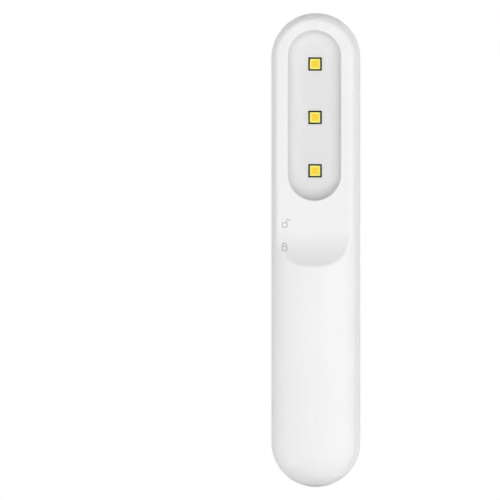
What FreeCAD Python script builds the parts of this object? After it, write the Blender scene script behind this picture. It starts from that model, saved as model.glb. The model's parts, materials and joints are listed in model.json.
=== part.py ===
"""Hand-held UV sterilizer wand with a push button on its front and three UV LEDs in its rear.

The wand stands along Z with the LED head at the top. The button faces -Y and the LEDs face +Y.
The origin is on the long axis, in the plane where the wand is widest, at the middle of the grip.
Sizes are in millimetres. A height is measured up from the wand's bottom end.
"""
import FreeCAD
import Part
import Sketcher
import math
import os
import re

SIZES = {
    # Outer form
    "body_length": 160.0,
    "body_width": 30.0,
    "front_flat": 4.5,
    "rear_flat": 1.5,
    "side_flat": 1.0,
    "wall": 1.8,
    "grip_height": 40.0,
    "overrun": 4.0,
    # Flat head and the cove that leads down to it from the handle
    "head_drop": 5.8,
    "cove_margin": 9.3,
    "cove_radius": 17.0,
    "head_edge_round": 1.4,
    # Seam between the shells, with a lip and snap beads
    "seam_gap": 0.4,
    "lip_depth": 2.0,
    "lip_gap": 0.1,
    "snap_bite": 0.3,
    "snap_length": 5.0,
    "snap_rise": 0.8,
    "snap_drop": 1.1,
    "snap_margin": 26.0,
    # Dished LED recess
    "recess_side": 6.05,
    "recess_length": 57.3,
    "recess_margin": 6.05,
    "recess_depth": 3.7,
    "recess_round": 4.6,
    "recess_floor": 1.2,
    "recess_edge_round": 0.4,
    # UV LEDs
    "led_shift": 0.6,
    "led_pitch": 18.0,
    "led_side": 4.4,
    "led_proud": 0.4,
    "led_gap": 0.1,
    "led_edge": 0.2,
    "emitter_side": 3.5,
    "emitter_depth": 0.5,
    "emitter_sink": 0.15,
    "emitter_gap": 0.02,
    # LED board and the heat stakes that hold it
    "led_board_width": 11.0,
    "led_board_thickness": 1.2,
    "led_board_tail": 5.2,
    "stake_width": 1.8,
    "stake_head_width": 3.0,
    "stake_head": 0.6,
    "stake_gap": 0.1,
    "stake_spread": 3.4,
    # Power button and its ring
    "button_drop": 1.35,
    "ring_width": 16.5,
    "ring_depth": 2.6,
    "ring_sink": 0.12,
    "ring_gap": 0.18,
    "cap_width": 13.7,
    "cap_gap": 0.2,
    "cap_skin": 1.3,
    "cap_hollow_width": 10.4,
    "cap_flange_width": 15.2,
    "cap_flange": 0.9,
    "cap_stem_width": 3.2,
    "cap_edge_round": 0.25,
    # Switch under the button
    "tact_side": 5.2,
    "tact_thickness": 1.5,
    "tact_edge": 0.3,
    "plunger_width": 2.6,
    "plunger_rise": 0.6,
    "plunger_root": 0.5,
    "plunger_room": 0.6,
    "plunger_gap": 0.1,
    # Indicator light pipe and lamp
    "lens_lift": 13.9,
    "lens_width": 1.5,
    "lens_length": 2.8,
    "lens_gap": 0.05,
    "lens_flange_margin": 0.8,
    "lens_flange": 0.8,
    "lens_air": 0.3,
    "lamp_width": 1.25,
    "lamp_length": 2.0,
    "lamp_thickness": 0.8,
    "lamp_edge": 0.15,
    # Main board and its screws
    "board_offset": 3.5,
    "board_side_room": 3.2,
    "board_thickness": 1.2,
    "board_bottom_height": 4.2,
    "board_top_margin": 5.1,
    "board_foot_flat": 2.0,
    "board_corner_round": 2.0,
    "boss_width": 5.0,
    "upper_screw_lift": 12.0,
    "upper_screw_edge": 2.8,
    "lower_screw_height": 18.0,
    "lower_screw_edge": 3.8,
    "screw_width": 1.5,
    "screw_tip_room": 1.5,
    "screw_head_width": 3.6,
    "screw_head": 1.2,
    "screw_head_round": 0.5,
    "screw_hole_gap": 0.3,
    "thread_gap": 0.05,
    # Lock slider in the side wall
    "slider_drop": 1.0,
    "slider_travel": 4.0,
    "knob_length": 6.0,
    "knob_width": 3.6,
    "knob_gap": 0.2,
    "knob_sink": 0.25,
    "ridge_depth": 0.45,
    "ridge_width": 0.6,
    "plate_length": 15.0,
    "plate_width": 5.5,
    "plate_thickness": 1.0,
    "plate_gap": 0.6,
    "prong_thickness": 1.0,
    "prong_width": 1.8,
    "prong_clearance": 0.3,
    # Slide switch on the board's edge
    "switch_depth": 4.0,
    "switch_rise": 3.6,
    "switch_length": 9.0,
    "switch_inset": 0.4,
    "lever_width": 2.0,
    "lever_rise": 1.6,
    "lever_clearance": 0.4,
    "lever_root": 1.0,
    "lever_gap": 0.1,
    # Charging inlet
    "usb_width": 8.94,
    "usb_rise": 3.16,
    "usb_length": 8.0,
    "usb_sink": 0.9,
    "usb_skin": 0.3,
    "usb_gap": 0.25,
    "tongue_width": 6.7,
    "tongue_thickness": 0.7,
    "tongue_sink": 1.0,
    "usb_back": 1.5,
    "usb_fit": 0.02,
    # Chips, coil and plug headers
    "chip_width": 4.0,
    "chip_length": 5.0,
    "chip_thickness": 1.5,
    "chip_edge": 0.3,
    "charger_height": 27.0,
    "driver_drop": 4.5,
    "driver_offset": 4.5,
    "coil_side": 5.0,
    "coil_thickness": 3.0,
    "coil_edge": 0.8,
    "coil_lift": 7.0,
    "coil_offset": 2.6,
    "header_width": 5.9,
    "header_rise": 4.5,
    "header_length": 4.5,
    "header_mouth": 0.7,
    "pin_pitch": 2.0,
    "battery_header_drop": 13.45,
    "battery_header_offset": 4.0,
    "led_header_drop": 6.0,
    "led_header_offset": 2.5,
    # Rechargeable cell, its foam pad and its saddles
    "cell_height": 15.0,
    "cell_head_room": 4.3,
    "cell_gap": 0.3,
    "cell_edge": 0.8,
    "nub_width": 5.5,
    "nub_rise": 1.0,
    "pad_width": 6.0,
    "pad_thickness": 1.4,
    "pad_inset": 7.0,
    "pad_gap": 0.05,
    "saddle_thickness": 1.6,
    "saddle_gap": 0.1,
    # Inner leads
    "lead_width": 1.1,
    "lead_bend": 1.6,
    "lead_rest": 0.05,
    "lead_run_offset": 2.1,
    "lead_rise": 2.0,
    "lead_sag": 4.0,
    "led_lead_start": 0.85,
    "led_lead_turn": 4.7,
}

# Places worked out from the sizes. A word ending in z is a place along Z, measured from the origin.
PLACES = {
    "front_round": "body_width / 2 - front_flat",
    "rear_round": "body_width / 2 - rear_flat",
    "front_reach": "front_round + side_flat / 2",
    "rear_reach": "rear_round + side_flat / 2",
    "bottom_z": "-grip_height",
    "top_z": "body_length - grip_height",
    "middle_z": "body_length / 2 - grip_height",
    "head_face": "rear_reach - head_drop",
    "parting": "head_face - wall",
    "cove_z": "recess_z - recess_length / 2 - cove_margin",
    "cove_centre": "head_face + cove_radius",
    "snap_pitch": "(body_length - 2 * snap_margin) / 4",
    "recess_width": "body_width - 2 * recess_side",
    "recess_z": "top_z - recess_margin - recess_length / 2",
    "recess_reach": "recess_length / 2 - recess_width / 2",
    "recess_flare": "recess_round - sqrt(recess_round ^ 2 - max(recess_round - recess_depth; 0) ^ 2)",
    "recess_bottom": "head_face - recess_depth",
    "led_board_rear": "recess_bottom - recess_floor",
    "led_board_front": "led_board_rear - led_board_thickness",
    "led_z": "recess_z - led_shift",
    "led_face": "recess_bottom + led_proud",
    "button_z": "cove_z - button_drop",
    "ring_end": "ring_depth - front_reach",
    "cap_end": "ring_end + cap_flange",
    "cap_inside": "cap_skin - front_reach",
    "lens_z": "button_z + lens_lift",
    "inner_front": "wall - front_reach",
    "board_rear": "-board_offset",
    "board_front": "board_rear - board_thickness",
    "board_width": "body_width - 2 * (wall + board_side_room)",
    "board_foot_round": "board_width / 2 - board_foot_flat",
    "board_bottom_z": "board_bottom_height - grip_height",
    "board_top_z": "lens_z + board_top_margin",
    "upper_screw_z": "button_z + upper_screw_lift",
    "lower_screw_z": "lower_screw_height - grip_height",
    "screw_length": "board_rear - inner_front - screw_tip_room",
    "tact_top": "board_front - tact_thickness",
    "plunger_top": "tact_top - plunger_rise",
    "lamp_top": "board_front - lamp_thickness",
    "slider_z": "button_z - slider_drop",
    "knob_z": "slider_z - slider_travel / 2",
    "plate_outside": "body_width / 2 - wall - plate_gap",
    "plate_inside": "plate_outside - plate_thickness",
    "switch_side": "board_width / 2 - switch_inset",
    "lever_middle": "board_rear + switch_rise / 2",
    "usb_middle": "board_rear + usb_rise / 2",
    "usb_mouth_z": "usb_sink - grip_height",
    "driver_z": "upper_screw_z - driver_drop",
    "coil_z": "button_z + coil_lift",
    "charger_z": "charger_height - grip_height",
    "battery_header_z": "button_z - battery_header_drop",
    "led_header_z": "button_z - led_header_drop",
    "cell_width": "rear_reach - wall - cell_gap - board_rear - pad_thickness",
    "cell_middle": "board_rear + pad_thickness + cell_width / 2",
    "cell_z": "cell_height - grip_height",
    "cell_top_z": "battery_header_z - header_length / 2 - cell_head_room - nub_rise",
    "cell_length": "cell_top_z - cell_z",
    "lead_run": "board_rear + lead_run_offset",
}

# Snap beads sit at these steps of the snap pitch. The step beside the lock slider is left out.
SNAP_STEPS = (0, 1, 3, 4)

# The inside of the cove stops this share of its radius short of the head.
COVE_STOP_SHARE = 0.2

# Each saddle stands this share of the cell's length from its end.
SADDLE_SHARE = 0.24

RIDGES = 4

# Points this close count as touching when edges are picked.
NEAR = 100 * Part.Precision.confusion()

LED_NAMES = {"upper": 1, "middle": 0, "lower": -1}

doc = FreeCAD.newDocument("uv_wand")
sheet = doc.addObject("Spreadsheet::Sheet", "Sizes")
for row, (alias, number) in enumerate(SIZES.items(), 1):
    sheet.set(f"A{row}", alias)
    sheet.set(f"B{row}", str(number))
    sheet.setAlias(f"B{row}", alias)
doc.recompute()


def formula(text):
    """Spell out a size formula in terms of the sheet's cells."""
    def spell(match):
        word = match.group()
        if word in PLACES:
            return f"({formula(PLACES[word])})"
        return f"Sizes.{word}" if word in SIZES else word
    return re.sub(r"[a-z_]+", spell, text)


def size(text):
    """The present value of a size formula."""
    return float(sheet.evalExpression(formula(text)))


def bind(thing, **formulas):
    """Tie properties of a feature to size formulas."""
    for name, text in formulas.items():
        thing.setExpression(name, formula(text))


def place(thing, x, y, z):
    """Tie the base point of a feature's placement to size formulas."""
    for axis, text in zip("xyz", (x, y, z)):
        thing.setExpression(f"Placement.Base.{axis}", formula(text))


def new_body(name):
    return doc.addObject("PartDesign::Body", name)


def sketch_in(body, role, name, right="0", up="0", out="0"):
    """Sketch on one of the body's origin planes, moved within and out of that plane."""
    sketch = body.newObject("Sketcher::SketchObject", name)
    plane = next(feature for feature in body.Origin.OriginFeatures if feature.Role == role)
    sketch.AttachmentSupport = [(plane, "")]
    sketch.MapMode = "FlatFace"
    for axis, text in zip("xyz", (right, up, out)):
        sketch.setExpression(f"AttachmentOffset.Base.{axis}", formula(text))
    return sketch


def drive(sketch, kind, *terms, by):
    """Add a dimension to a sketch and tie it to a size formula."""
    index = sketch.addConstraint(Sketcher.Constraint(kind, *terms, size(by)))
    name = f"size{index}"
    sketch.renameConstraint(index, name)
    sketch.setExpression(f"Constraints.{name}", formula(by))


def draw_slot(sketch, radius, reach, lying=False):
    """Slot outline: the radius of its round ends and the reach from its middle to each end's centre."""
    turn = -math.pi / 2 if lying else 0.0
    spin = FreeCAD.Rotation(FreeCAD.Vector(0, 0, 1), math.degrees(turn))
    half, arm = size(radius), size(reach)
    upright = ((half, -arm), (half, arm), (-half, arm), (-half, -arm))
    corner = [spin.multVec(FreeCAD.Vector(x, y)) for x, y in upright]
    ends = [spin.multVec(FreeCAD.Vector(0, y)) for y in (arm, -arm)]
    upward = FreeCAD.Vector(0, 0, 1)
    halfway, around = turn + math.pi, turn + 2 * math.pi
    sketch.addGeometry(Part.LineSegment(corner[0], corner[1]))
    sketch.addGeometry(Part.ArcOfCircle(Part.Circle(ends[0], upward, half), turn, halfway))
    sketch.addGeometry(Part.LineSegment(corner[2], corner[3]))
    sketch.addGeometry(Part.ArcOfCircle(Part.Circle(ends[1], upward, half), halfway, around))
    for first in range(4):
        sketch.addConstraint(Sketcher.Constraint("Tangent", first, 2, (first + 1) % 4, 1))
    sketch.addConstraint(Sketcher.Constraint("Horizontal" if lying else "Vertical", 0))
    sketch.addConstraint(Sketcher.Constraint("Symmetric", 1, 3, 3, 3, -1, 1))
    sketch.addConstraint(Sketcher.Constraint("Equal", 1, 3))
    drive(sketch, "Radius", 1, by=radius)
    drive(sketch, "DistanceX" if lying else "DistanceY", -1, 1, 1, 3, by=reach)


def draw_circle(sketch, radius, right="0", up="0"):
    """Circle in a sketch, at a place measured from the sketch's origin."""
    centre = FreeCAD.Vector(size(right), size(up))
    index = sketch.addGeometry(Part.Circle(centre, FreeCAD.Vector(0, 0, 1), size(radius)))
    drive(sketch, "Radius", index, by=radius)
    for kind, text, axis in (("DistanceX", right, -2), ("DistanceY", up, -1)):
        if text == "0":
            sketch.addConstraint(Sketcher.Constraint("PointOnObject", index, 3, axis))
        else:
            drive(sketch, kind, -1, 1, index, 3, by=text)


def draw_outline(sketch, corners, arcs=()):
    """Closed outline through corners given as formulas.

    A stretch listed in arcs runs from its corner to the next one on a circle, clockwise, about the
    given centre with the given radius.
    """
    points = [FreeCAD.Vector(size(x), size(y)) for x, y in corners]
    bends = dict(arcs)
    ends = []
    for start, point in enumerate(points):
        following = points[(start + 1) % len(points)]
        if start in bends:
            centre = FreeCAD.Vector(size(bends[start][0]), size(bends[start][1]))
            circle = Part.Circle(centre, FreeCAD.Vector(0, 0, 1), size(bends[start][2]))
            early = circle.parameter(following)
            late = circle.parameter(point)
            late += 2 * math.pi if late < early else 0.0
            index = sketch.addGeometry(Part.ArcOfCircle(circle, early, late))
            ends.append((index, 2, 1))
        else:
            index = sketch.addGeometry(Part.LineSegment(point, following))
            ends.append((index, 1, 2))
    for start, (index, first, last) in enumerate(ends):
        following = ends[(start + 1) % len(ends)]
        sketch.addConstraint(Sketcher.Constraint("Coincident", index, last, following[0], following[1]))
        drive(sketch, "DistanceX", -1, 1, index, first, by=corners[start][0])
        drive(sketch, "DistanceY", -1, 1, index, first, by=corners[start][1])
        if start in bends:
            drive(sketch, "Radius", index, by=bends[start][2])


def draw_square(sketch, half_width, half_height):
    """Rectangle about a sketch's origin."""
    draw_outline(sketch, [
        (f"-({half_width})", f"-({half_height})"),
        (half_width, f"-({half_height})"),
        (half_width, half_height),
        (f"-({half_width})", half_height),
    ])


def pad(body, sketch, name, length, side="One side", backward=False, length_behind=None):
    """Raise a sketch into a solid of its body."""
    feature = body.newObject("PartDesign::Pad", name)
    feature.Profile = sketch
    feature.SideType = side
    feature.Reversed = backward
    bind(feature, Length=length)
    if length_behind:
        bind(feature, Length2=length_behind)
    doc.recompute()
    return feature


def pocket(body, sketch, name, length, backward=False):
    """Cut a sketch into the solid of its body."""
    feature = body.newObject("PartDesign::Pocket", name)
    feature.Profile = sketch
    feature.Reversed = backward
    bind(feature, Length=length)
    doc.recompute()
    return feature


def edges_where(shape, test):
    """Names of a shape's edges whose start, middle and end all meet a test."""
    names = []
    for index, edge in enumerate(shape.Edges, 1):
        low, high = edge.ParameterRange
        if all(test(edge.valueAt(value)) for value in (low, (low + high) / 2, high)):
            names.append(f"Edge{index}")
    return names


def edge_amounts(shape, test, amount):
    """Numbers of a shape's edges that meet a test, each with the amount to take off at both ends."""
    numbers = [int(edge.removeprefix("Edge")) for edge in edges_where(shape, test)]
    return [(number, size(amount), size(amount)) for number in numbers]


def round_edges(body, base, name, test, radius):
    """Round the edges of a body's feature that meet a test."""
    feature = body.newObject("PartDesign::Fillet", name)
    feature.Base = (base, edges_where(base.Shape, test))
    bind(feature, Radius=radius)
    doc.recompute()
    return feature


def level(axis, text):
    """Test for points that lie in a plane square to an axis."""
    height = size(text)
    return lambda point: math.isclose(getattr(point, axis), height, abs_tol=Part.Precision.confusion())


def block(name, x, y, z):
    """Box between two formulas along each axis."""
    box = doc.addObject("Part::Box", name)
    bind(box, Length=f"({x[1]}) - ({x[0]})", Width=f"({y[1]}) - ({y[0]})", Height=f"({z[1]}) - ({z[0]})")
    place(box, x[0], y[0], z[0])
    return box


def rod_y(name, radius, x, z, start, end):
    """Cylinder along Y between two formulas."""
    rod = doc.addObject("Part::Cylinder", name)
    rod.Placement.Rotation = FreeCAD.Rotation(FreeCAD.Vector(1, 0, 0), -90)
    bind(rod, Radius=radius, Height=f"({end}) - ({start})")
    place(rod, x, start, z)
    return rod


def join(name, *solids):
    """Fuse solids into one feature."""
    result = doc.addObject("Part::MultiFuse", name)
    result.Shapes = list(solids)
    result.Refine = True
    return result


def cut(name, base, *tools):
    """Cut tools out of a base."""
    result = doc.addObject("Part::Cut", name)
    result.Base = base
    result.Tool = tools[0] if len(tools) == 1 else join(f"{name}_tools", *tools)
    result.Refine = True
    return result


def shared(name, first, second):
    """Keep only what two solids share."""
    result = doc.addObject("Part::Common", name)
    result.Base = first
    result.Tool = second
    return result


def soften(name, base, test, radius):
    """Round the edges of a finished solid that meet a test."""
    doc.recompute()
    result = doc.addObject("Part::Fillet", name)
    result.Base = base
    result.Edges = edge_amounts(base.Shape, test, radius)
    doc.recompute()
    return result


def envelope(name, inset):
    """The wand's outer form, drawn in by an inset: a slot with a rounded front and a rounder rear."""
    body = new_body(name)
    outline = sketch_in(body, "XZ_Plane", f"{name}_outline", up="middle_z")
    draw_slot(outline, f"body_width / 2 - ({inset})", "body_length / 2 - body_width / 2")
    front, rear = f"front_reach - ({inset})", f"rear_reach - ({inset})"
    solid = pad(body, outline, f"{name}_solid", front, side="Two sides", length_behind=rear)
    front_test, rear_test = level("y", f"-({front})"), level("y", rear)
    solid = round_edges(body, solid, f"{name}_front_round", front_test, f"front_round - ({inset})")
    round_edges(body, solid, f"{name}_rear_round", rear_test, f"rear_round - ({inset})")
    return body


def across(body, sketch, name):
    """Raise a side profile across the whole width of the wand."""
    return pad(body, sketch, name, "body_width + 2 * overrun", side="Symmetric")


def slab(name, start, end):
    """Slab of the whole wand between two places along Y."""
    wide = "body_width / 2 + overrun"
    return block(name, (f"-({wide})", wide), (start, end), ("bottom_z - overrun", "top_z + overrun"))


OUTER = envelope("outer_form", "0")
INNER = envelope("inner_form", "wall")
REBATE = envelope("rebate_form", "wall / 2")
LIP = envelope("lip_form", "wall / 2 + lip_gap")
BEAD = envelope("bead_form", "wall / 2 - snap_bite")
NOTCH = envelope("notch_form", "wall / 2 - snap_bite - lip_gap")


def snap_boxes(name, gap):
    """Boxes across the wand at each snap, grown by a gap."""
    wide = "body_width / 2 + overrun"
    boxes = []
    for step in SNAP_STEPS:
        centre = f"bottom_z + snap_margin + {step} * snap_pitch"
        low, high = "parting - snap_drop - snap_rise / 2", "parting - snap_drop + snap_rise / 2"
        boxes.append(block(
            f"{name}_{step}",
            (f"-({wide})", wide),
            (f"{low} - ({gap})", f"{high} + {gap}"),
            (f"{centre} - snap_length / 2 - ({gap})", f"{centre} + snap_length / 2 + {gap}"),
        ))
    return join(name, *boxes)


def screw_places():
    """Name, sideways place and height of each board screw."""
    for row in ("upper", "lower"):
        for side, sign in (("right", ""), ("left", "-")):
            yield f"{row}_{side}", f"{sign}(board_width / 2 - {row}_screw_edge)", f"{row}_screw_z"


def slot_rod(name, role, radius, reach, right, up, start, length, lying=False):
    """Slot-shaped bar standing on an origin plane, from a place along the plane's normal."""
    body = new_body(name)
    outline = sketch_in(body, role, f"{name}_outline", right=right, up=up, out=start)
    draw_slot(outline, radius, reach, lying=lying)
    pad(body, outline, f"{name}_bar", length)
    return body


def make_front_shell():
    """Tub with a rebate for the rear shell's lip, bosses for the board and four openings."""
    half = shared("front_half", OUTER, slab("front_side", "-front_reach - overrun", "parting - seam_gap"))
    tub = cut("front_tub", half, INNER)
    rebate = shared("front_rebate", REBATE, slab("rebate_slab", "parting - lip_depth", "parting + overrun"))
    notches = shared("front_notches", NOTCH, snap_boxes("notch_boxes", "lip_gap"))
    bosses = [
        rod_y(f"boss_{name}", "boss_width / 2", x, z, "-front_reach", "board_front")
        for name, x, z in screw_places()
    ]
    pilots = [
        rod_y(f"pilot_{name}", "screw_width / 2 + thread_gap", x, z, "inner_front", "board_front + overrun")
        for name, x, z in screw_places()
    ]
    trimmed = shared("trimmed_bosses", REBATE, join("boss_rods", *bosses))
    button_hole = rod_y(
        "button_hole", "ring_width / 2", "0", "button_z", "-front_reach - overrun", "cap_end"
    )
    lens_hole = slot_rod(
        "lens_hole", "XZ_Plane", "lens_width / 2 + lens_gap", "lens_length / 2 - lens_width / 2",
        "0", "lens_z", "wall / 2", "front_reach",
    )
    slot_reach = "(knob_length + slider_travel - knob_width) / 2"
    slider_slot = slot_rod(
        "slider_slot", "YZ_Plane", "knob_width / 2 + knob_gap", slot_reach,
        "0", "slider_z", "plate_outside", "wall + plate_gap + overrun",
    )
    usb_hole = slot_rod(
        "usb_hole", "XY_Plane", "usb_rise / 2 + usb_gap", "usb_width / 2 - usb_rise / 2",
        "0", "usb_middle", "bottom_z - overrun", "board_bottom_height + overrun", lying=True,
    )
    body = join("front_with_bosses", cut("front_rim", tub, rebate, notches), trimmed)
    return cut("front_shell", body, button_hole, lens_hole, slider_slot, usb_hole, *pilots)


def make_head_cutter():
    """Side profile above the flat head and the cove."""
    body = new_body("head_cutter")
    profile = sketch_in(body, "YZ_Plane", "head_profile")
    draw_outline(
        profile,
        [
            ("head_face", "top_z + overrun"),
            ("cove_centre", "top_z + overrun"),
            ("cove_centre", "cove_z - cove_radius"),
            ("head_face", "cove_z"),
        ],
        arcs=[(2, ("cove_centre", "cove_z", "cove_radius"))],
    )
    across(body, profile, "head_cut")
    return body


def make_handle_hollow():
    """Side profile of the hollow under the handle, kept one wall away from the cove."""
    body = new_body("handle_profile_solid")
    profile = sketch_in(body, "YZ_Plane", "handle_profile")
    radius = "(cove_radius + wall)"
    stop = f"cove_z - {COVE_STOP_SHARE} * {radius}"
    draw_outline(
        profile,
        [
            ("parting - overrun", "bottom_z - overrun"),
            ("cove_centre", "bottom_z - overrun"),
            ("cove_centre", f"cove_z - {radius}"),
            (f"cove_centre - {radius} * sqrt(1 - {COVE_STOP_SHARE} ^ 2)", stop),
            ("parting - overrun", stop),
        ],
        arcs=[(2, ("cove_centre", "cove_z", radius))],
    )
    across(body, profile, "handle_hollow_bar")
    return shared("handle_hollow", body, INNER)


def make_recess(name, margin):
    """Dish whose sides curve up from its floor, grown by a margin: the LED recess and its backing."""
    body = new_body(name)
    foot = f"recess_bottom - {margin}"
    outline = sketch_in(body, "XZ_Plane", f"{name}_outline", up="recess_z", out=f"-({foot})")
    draw_slot(outline, f"recess_width / 2 + recess_flare + {margin}", "recess_reach")
    dish = pad(body, outline, f"{name}_dish", f"recess_round + {margin} + overrun", backward=True)
    round_edges(body, dish, f"{name}_foot", level("y", foot), f"recess_round + {margin}")
    return body


def led_hole(name, step):
    """Square hole in the recess floor for one LED."""
    half = "(led_side / 2 + led_gap)"
    centre = f"led_z + {step} * led_pitch"
    return block(
        name,
        (f"-{half}", half),
        ("led_board_rear - overrun", "head_face"),
        (f"{centre} - {half}", f"{centre} + {half}"),
    )


def stake_places():
    """Name, sideways place and place along Z of each heat stake, halfway between neighbouring LEDs."""
    for row, step in (("upper", ""), ("lower", "-")):
        for side, sign in (("right", ""), ("left", "-")):
            yield f"{row}_{side}", f"{sign}stake_spread", f"led_z + {step}led_pitch / 2"


def make_rear_shell():
    """Rear half: flat head with a dished recess, cove, convex handle, lip, saddles and heat stakes."""
    recess = make_recess("recess_cutter", "0")
    carved = cut("carved_form", OUTER, make_head_cutter(), recess)
    head_plane = level("y", "head_face")
    cove_y, cove_top, radius = size("cove_centre"), size("cove_z"), size("cove_radius")

    def on_rim(point):
        in_cove = math.isclose(math.hypot(point.y - cove_y, point.z - cove_top), radius, abs_tol=NEAR)
        return (head_plane(point) and point.z > cove_top - NEAR) or (in_cove and point.z < cove_top + NEAR)

    half_width, end_reach, centre = size("recess_width / 2"), size("recess_reach"), size("recess_z")

    def on_recess_rim(point):
        beyond = max(abs(point.z - centre) - end_reach, 0)
        return head_plane(point) and math.isclose(math.hypot(point.x, beyond), half_width, abs_tol=NEAR)

    def on_head_rim(point):
        return on_rim(point) and not on_recess_rim(point)

    rounded = soften("rounded_form", carved, on_head_rim, "head_edge_round")
    rounded = soften("soft_form", rounded, on_recess_rim, "recess_edge_round")
    half = shared("rear_half", rounded, slab("rear_side", "parting", "rear_reach + overrun"))
    saddles = []
    inset = f"{SADDLE_SHARE} * cell_length"
    for name, centre in (("lower", f"cell_z + {inset}"), ("upper", f"cell_top_z - {inset}")):
        wide = "body_width / 2"
        saddles.append(block(
            f"{name}_saddle_block",
            (f"-{wide}", wide),
            ("parting", "rear_reach"),
            (f"{centre} - saddle_thickness / 2", f"{centre} + saddle_thickness / 2"),
        ))
    cell_room = doc.addObject("Part::Cylinder", "cell_room")
    bind(cell_room, Radius="cell_width / 2 + saddle_gap", Height="cell_length")
    place(cell_room, "0", "cell_middle", "cell_z")
    ribs = cut("saddles", shared("saddle_ribs", REBATE, join("saddle_blocks", *saddles)), cell_room)
    beads = shared("snap_beads", BEAD, snap_boxes("bead_boxes", "0"))
    lip_slab = slab("lip_slab", "parting - lip_depth", "parting")
    ring = shared("lip_ring", join("lip_and_beads", LIP, beads), lip_slab)
    lip = cut("lip", ring, INNER)
    hollow = cut("hollow_half", half, make_handle_hollow())
    stakes = []
    end, root = "led_board_front - stake_head", "led_board_rear + recess_floor / 2"
    for name, x, z in stake_places():
        stakes.append(rod_y(f"stake_{name}", "stake_width / 2", x, z, end, root))
        stakes.append(rod_y(f"stake_head_{name}", "stake_head_width / 2", x, z, end, "led_board_front"))
    backing_slab = slab("backing_slab", "led_board_rear - overrun", "head_face - wall / 2")
    backing = shared("recess_backing", make_recess("backing_form", "recess_floor"), backing_slab)
    holes = [led_hole(f"led_hole_{name}", step) for name, step in LED_NAMES.items()]
    dish = cut("recess_dish", backing, recess, *holes)
    return join("rear_shell", hollow, lip, ribs, dish, *stakes)


def make_button_ring():
    """Trim ring that follows the front's curve just below the shell."""
    sunk = envelope("ring_form", "ring_sink")
    outside = "-front_reach - overrun"
    bar = rod_y("ring_bar", "ring_width / 2 - ring_gap", "0", "button_z", outside, "ring_end")
    bore = rod_y("ring_bore", "cap_width / 2 + cap_gap", "0", "button_z", outside, "cap_end")
    return cut("button_ring", shared("ring_blank", bar, sunk), bore)


def make_button_cap():
    """Push button that follows the front's curve, hollow behind, with a flange and a stem."""
    bar = rod_y("cap_bar", "cap_width / 2", "0", "button_z", "-front_reach - overrun", "cap_end")
    flange = rod_y("cap_flange_disc", "cap_flange_width / 2", "0", "button_z", "ring_end", "cap_end")
    hollow = rod_y("cap_hollow", "cap_hollow_width / 2", "0", "button_z", "cap_inside", "cap_end + overrun")
    stem = rod_y("cap_stem", "cap_stem_width / 2", "0", "button_z", "cap_inside", "plunger_top")
    radius, centre, inside = size("cap_width / 2"), size("button_z"), size("inner_front")

    def on_face_edge(point):
        on_side = math.isclose(math.hypot(point.x, point.z - centre), radius, abs_tol=NEAR)
        return on_side and point.y < inside

    face = soften("soft_cap_face", shared("cap_face", bar, OUTER), on_face_edge, "cap_edge_round")
    solid = join("cap_blank", face, flange)
    return join("power_button_cap", cut("cap_shell", solid, hollow), stem)


def make_lens():
    """Light pipe with a flange behind the front wall."""
    reach = "lens_length / 2 - lens_width / 2"
    pipe = slot_rod(
        "lens_pipe", "XZ_Plane", "lens_width / 2", reach,
        "0", "lens_z", "-(lamp_top - lens_air)", "front_reach + lamp_top - lens_air",
    )
    flange = slot_rod(
        "lens_flange_bar", "XZ_Plane", "lens_width / 2 + lens_flange_margin", reach,
        "0", "lens_z", "-inner_front - lens_flange", "lens_flange",
    )
    return join("indicator_lens", pipe, flange)


def make_led_board():
    """Slot-shaped LED board whose tail reaches below the recess, with holes for the heat stakes."""
    body = new_body("led_board")
    top = "recess_z + recess_reach"
    tail = "recess_z - recess_length / 2 - led_board_tail + led_board_width / 2"
    middle = f"({top} + {tail}) / 2"
    outline = sketch_in(body, "XZ_Plane", "led_board_outline", up=middle, out="-led_board_rear")
    draw_slot(outline, "led_board_width / 2", f"({top} - ({tail})) / 2")
    pad(body, outline, "led_board_plate", "led_board_thickness")
    holes = sketch_in(body, "XZ_Plane", "stake_holes", out="-led_board_rear")
    for _, x, z in stake_places():
        draw_circle(holes, "stake_width / 2 + stake_gap", right=x, up=z)
    pocket(body, holes, "stake_hole_cut", "led_board_thickness", backward=True)
    return body


def make_led(name, step):
    """Square LED package with a sunk window, standing on the LED board."""
    body = new_body(f"uvc_led_{name}")
    centre = f"led_z + {step} * led_pitch"
    base = sketch_in(body, "XZ_Plane", f"led_base_{name}", up=centre, out="-led_board_rear")
    draw_square(base, "led_side / 2", "led_side / 2")
    solid = pad(body, base, f"led_block_{name}", "led_face - led_board_rear", backward=True)
    edge = body.newObject("PartDesign::Chamfer", f"led_edge_{name}")
    edge.Base = (solid, edges_where(solid.Shape, level("y", "led_face")))
    bind(edge, Size="led_edge")
    doc.recompute()
    window = sketch_in(body, "XZ_Plane", f"led_window_{name}", up=centre, out="-led_face")
    draw_square(window, "emitter_side / 2", "emitter_side / 2")
    pocket(body, window, f"led_well_{name}", "emitter_depth", backward=True)
    return body


def make_emitter(name, step):
    """Emitting face in an LED's window."""
    body = new_body(f"led_emitter_{name}")
    centre = f"led_z + {step} * led_pitch"
    face = sketch_in(body, "XZ_Plane", f"emitter_face_{name}", up=centre, out="-(led_face - emitter_depth)")
    half = "emitter_side / 2 - emitter_gap"
    draw_square(face, half, half)
    pad(body, face, f"emitter_block_{name}", "emitter_depth - emitter_sink", backward=True)
    return body


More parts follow.
